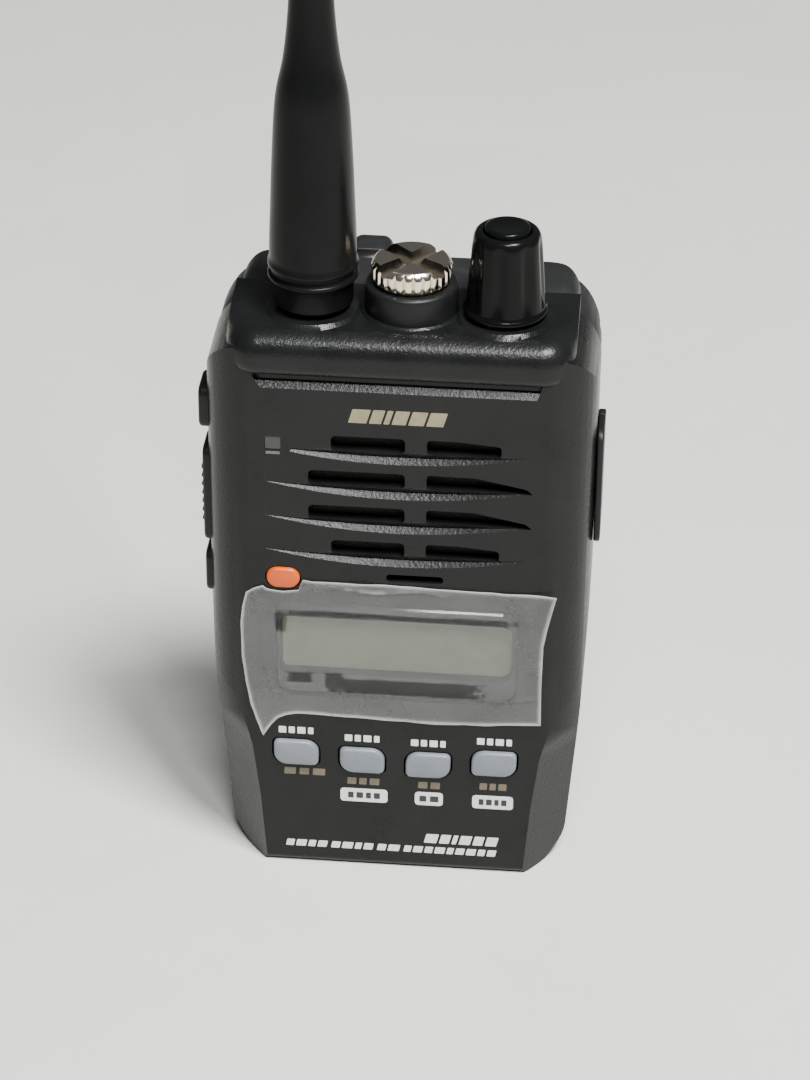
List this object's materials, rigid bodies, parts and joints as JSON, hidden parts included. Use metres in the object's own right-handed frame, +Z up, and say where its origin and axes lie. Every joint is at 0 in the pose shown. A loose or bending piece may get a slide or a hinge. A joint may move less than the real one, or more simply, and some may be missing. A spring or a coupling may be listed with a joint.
{
  "type": "handheld radio transceiver",
  "caption": "Compact handheld two-way radio with a screw-on whip antenna, rotary dial, capped accessory jack, front keys and speaker, side keys and a clip-on battery pack.",
  "frame": {"origin": "centre of the base under the body, on the surface it stands on", "axes": "+X to the right seen from the front, the front face looks to -Y, +Z up along the antenna"},
  "size_m": [0.0605, 0.0345, 0.26],
  "materials": {
    "case_black": "fine matt grain",
    "chassis_black": "fine textured paint on die-cast metal",
    "rubber_black": "moulded rubber",
    "sheath_black": "smooth satin rubber",
    "seal_rubber": "soft rubber",
    "gasket_silicone": "soft silicone",
    "screw_steel": "plated steel",
    "insert_brass": "turned brass",
    "board_green": "solder mask",
    "shield_tin": "tin plate",
    "speaker_steel": "pressed steel",
    "cone_film": "thin film",
    "mesh_cloth": "woven dust cloth",
    "window_clear": "clear moulded window",
    "lcd_glass": "grey-green reflective display",
    "holder_white": "moulded light guide",
    "film_clear": "crinkled clear film",
    "indicator_smoke": "smoked light window",
    "contact_gold": "gold plate",
    "jack_black": "moulded socket",
    "cap_nickel": "bright nickel plate",
    "dial_black": "satin rubber over plastic",
    "key_grey": "translucent silicone",
    "key_orange": "coloured silicone",
    "pack_black": "fine matt grain",
    "cell_wrap": "cell sleeve",
    "spring_steel": "spring steel"
  },
  "bodies": {
    "case": {"front_case": "case_black", "rear_chassis": "chassis_black", "case_seal": "gasket_silicone", "case_screws": "screw_steel", "clip_inserts": "insert_brass", "main_board": "board_green", "rf_shield": "shield_tin", "speaker_frame": "speaker_steel", "speaker_cone": "cone_film", "speaker_magnet": "speaker_steel", "speaker_mesh": "mesh_cloth", "window_lens": "window_clear", "lcd_panel": "lcd_glass", "lcd_holder": "holder_white", "screen_film": "film_clear", "indicator_lens": "indicator_smoke", "dome_switches": "contact_gold", "side_switches": "contact_gold", "microphone": "shield_tin", "antenna_jack": "contact_gold", "jack_collar": "rubber_black", "mic_jack": "jack_black", "dial_encoder": "shield_tin", "dial_nut": "screw_steel", "dc_jack": "jack_black", "cover_anchor": "rubber_black", "chassis_contacts": "contact_gold", "battery_catch": "spring_steel"},
    "antenna_washer": {"antenna_seal": "seal_rubber"},
    "antenna": {"antenna_nut": "sheath_black", "antenna_core": "contact_gold", "antenna_sheath": "sheath_black"},
    "cap_washer": {"cap_seal": "seal_rubber"},
    "jack_cap": {"jack_cap": "cap_nickel"},
    "dial": {"dial_knob": "dial_black", "dial_shaft": "screw_steel", "dial_cap": "dial_black"},
    "key_1": {"key_1": "key_grey"},
    "key_2": {"key_2": "key_grey"},
    "key_3": {"key_3": "key_grey"},
    "key_4": {"key_4": "key_grey"},
    "power_key": {"power_key": "key_orange"},
    "ptt_key": {"ptt_key": "rubber_black"},
    "upper_side_key": {"upper_side_key": "rubber_black"},
    "lower_side_key": {"lower_side_key": "rubber_black"},
    "dc_cover": {"dc_cover": "rubber_black"},
    "battery": {"battery_case": "pack_black", "battery_lid": "pack_black", "battery_cells": "cell_wrap", "battery_board": "board_green", "battery_contacts": "contact_gold", "latch_spring": "spring_steel"},
    "latch": {"battery_latch": "jack_black"}
  },
  "joints": [
    {"name": "antenna_lift", "type": "slide", "parent": "case", "child": "antenna_washer", "axis": [0, 0, 1], "range_m": [0, 0.00494]},
    {"name": "antenna_unscrew", "type": "hinge", "parent": "antenna_washer", "child": "antenna", "pos_m": [-0.0133, -0.006, 0.098], "axis": [0, 0, 1], "range_deg": [0, 2521]},
    {"name": "cap_lift", "type": "slide", "parent": "case", "child": "cap_washer", "axis": [0, 0, 1], "range_m": [0, 0.003]},
    {"name": "cap_unscrew", "type": "hinge", "parent": "cap_washer", "child": "jack_cap", "pos_m": [0.001, -0.0045, 0.1], "axis": [0, 0, 1], "range_deg": [0, 1441]},
    {"name": "dial_turn", "type": "hinge", "parent": "case", "child": "dial", "pos_m": [0.0149, -0.006, 0.101], "axis": [0, 0, 1], "continuous": true},
    {"name": "key_1_press", "type": "slide", "parent": "case", "child": "key_1", "axis": [0, 1, 0], "range_m": [0, 0.0006], "stiffness_N_per_m": 400, "springref_m": -0.0006},
    {"name": "key_2_press", "type": "slide", "parent": "case", "child": "key_2", "axis": [0, 1, 0], "range_m": [0, 0.0006], "stiffness_N_per_m": 400, "springref_m": -0.0006},
    {"name": "key_3_press", "type": "slide", "parent": "case", "child": "key_3", "axis": [0, 1, 0], "range_m": [0, 0.0006], "stiffness_N_per_m": 400, "springref_m": -0.0006},
    {"name": "key_4_press", "type": "slide", "parent": "case", "child": "key_4", "axis": [0, 1, 0], "range_m": [0, 0.0006], "stiffness_N_per_m": 400, "springref_m": -0.0006},
    {"name": "power_press", "type": "slide", "parent": "case", "child": "power_key", "axis": [0, 1, 0], "range_m": [0, 0.0006], "stiffness_N_per_m": 400, "springref_m": -0.0006},
    {"name": "ptt_press", "type": "slide", "parent": "case", "child": "ptt_key", "axis": [1, 0, 0], "range_m": [0, 0.0008], "stiffness_N_per_m": 500, "springref_m": -0.0006},
    {"name": "upper_side_press", "type": "slide", "parent": "case", "child": "upper_side_key", "axis": [1, 0, 0], "range_m": [0, 0.0008], "stiffness_N_per_m": 500, "springref_m": -0.0006},
    {"name": "lower_side_press", "type": "slide", "parent": "case", "child": "lower_side_key", "axis": [1, 0, 0], "range_m": [0, 0.0008], "stiffness_N_per_m": 500, "springref_m": -0.0006},
    {"name": "dc_cover_open", "type": "hinge", "parent": "case", "child": "dc_cover", "pos_m": [0.0301, -0.001, 0.0678], "axis": [0, 0, 1], "range_deg": [0, 120]},
    {"name": "battery_swing", "type": "hinge", "parent": "case", "child": "battery", "pos_m": [0, 0.0069, 0.0824], "axis": [1, 0, 0], "range_deg": [0, 20], "deforming": ["battery_catch"]},
    {"name": "latch_slide", "type": "slide", "parent": "battery", "child": "latch", "axis": [0, 0, -1], "range_m": [0, 0.0014], "stiffness_N_per_m": 300, "springref_m": -0.002, "deforming": ["latch_spring"]}
  ],
  "couplings": [
    {"joint": "antenna_unscrew", "follows": "antenna_lift", "rad_per_m": 8904.7},
    {"joint": "cap_unscrew", "follows": "cap_lift", "rad_per_m": 8377.6}
  ]
}
